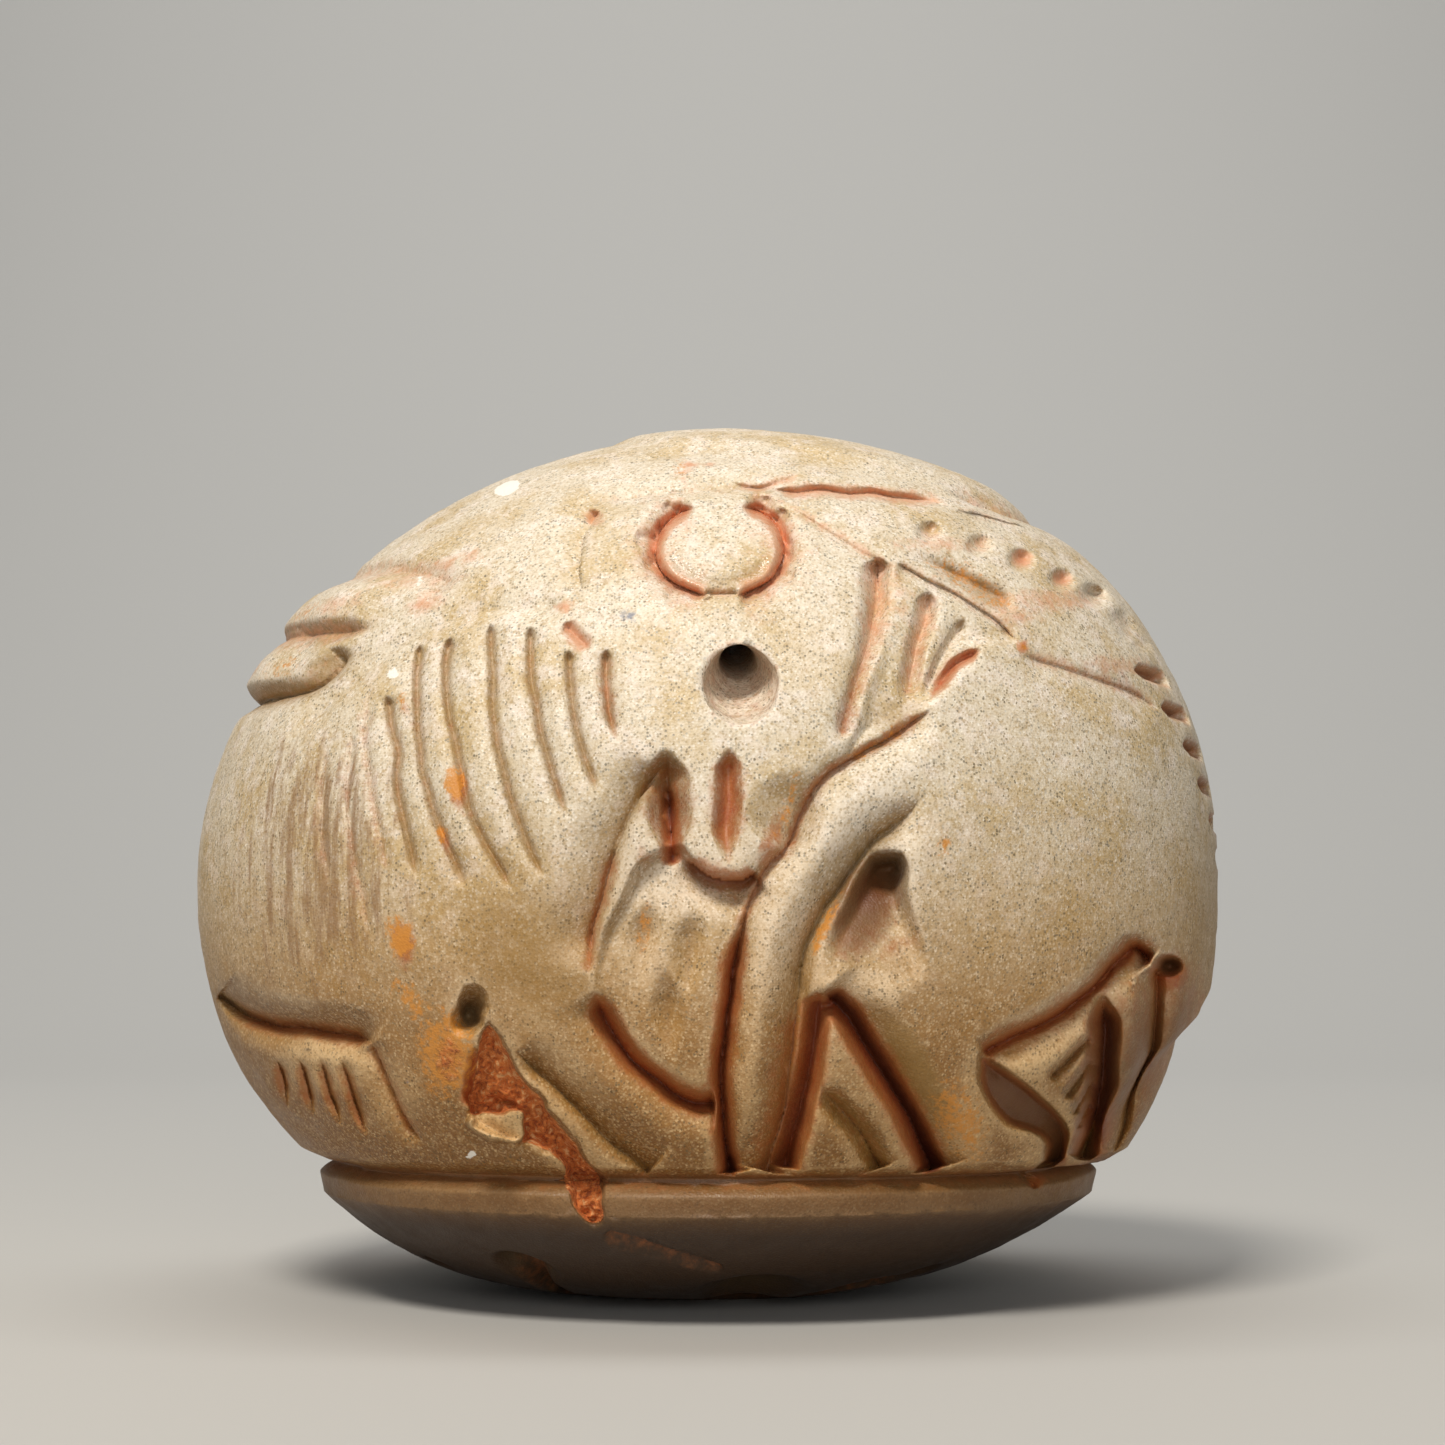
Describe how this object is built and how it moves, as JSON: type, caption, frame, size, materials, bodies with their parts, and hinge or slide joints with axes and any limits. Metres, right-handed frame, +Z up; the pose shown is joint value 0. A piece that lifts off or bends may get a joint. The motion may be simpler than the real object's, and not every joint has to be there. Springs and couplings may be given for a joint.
{
  "type": "carved stone bead amulet",
  "caption": "Pebble-shaped stone bead carved all round as a crouching animal, pierced from brow to back, above a convex engraved seal face.",
  "frame": {"origin": "middle of the seal face's flat spot, where the bead rests", "axes": "+X along the bead, to the right as seen from the front; the head looks out towards -Y; +Z up from the seal face"},
  "size_m": [0.0402, 0.035, 0.0338],
  "materials": {
    "stone": "rubbed, matte to satin, with rust stain in the cuts"
  },
  "bodies": {
    "root": {"amulet_stone": "stone"}
  },
  "joints": []
}
